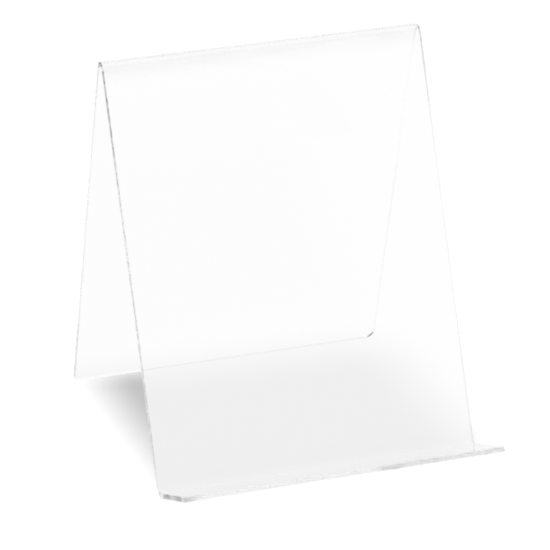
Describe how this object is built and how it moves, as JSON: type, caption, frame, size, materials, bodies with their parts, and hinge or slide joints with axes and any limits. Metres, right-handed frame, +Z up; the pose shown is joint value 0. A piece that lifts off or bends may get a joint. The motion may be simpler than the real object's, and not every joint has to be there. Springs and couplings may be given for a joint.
{
  "type": "book display stand",
  "caption": "Free-standing book display stand of heat-bent clear acrylic sheet: a leaning front panel, a turned-up ledge for the book and a back leg folded over a rounded ridge.",
  "frame": {"origin": "middle of the stand's bounding box in X and Y, at the level of the table it stands on", "axes": "+X along the ledge, to the right of a reader facing the stand; -Y towards the reader; +Z up"},
  "size_m": [0.2032, 0.2252, 0.24],
  "materials": {
    "clear_acrylic": "clear and colourless, with polished faces and lightly polished cut edges"
  },
  "bodies": {
    "root": {"bent_acrylic_sheet": "clear_acrylic"}
  },
  "joints": []
}
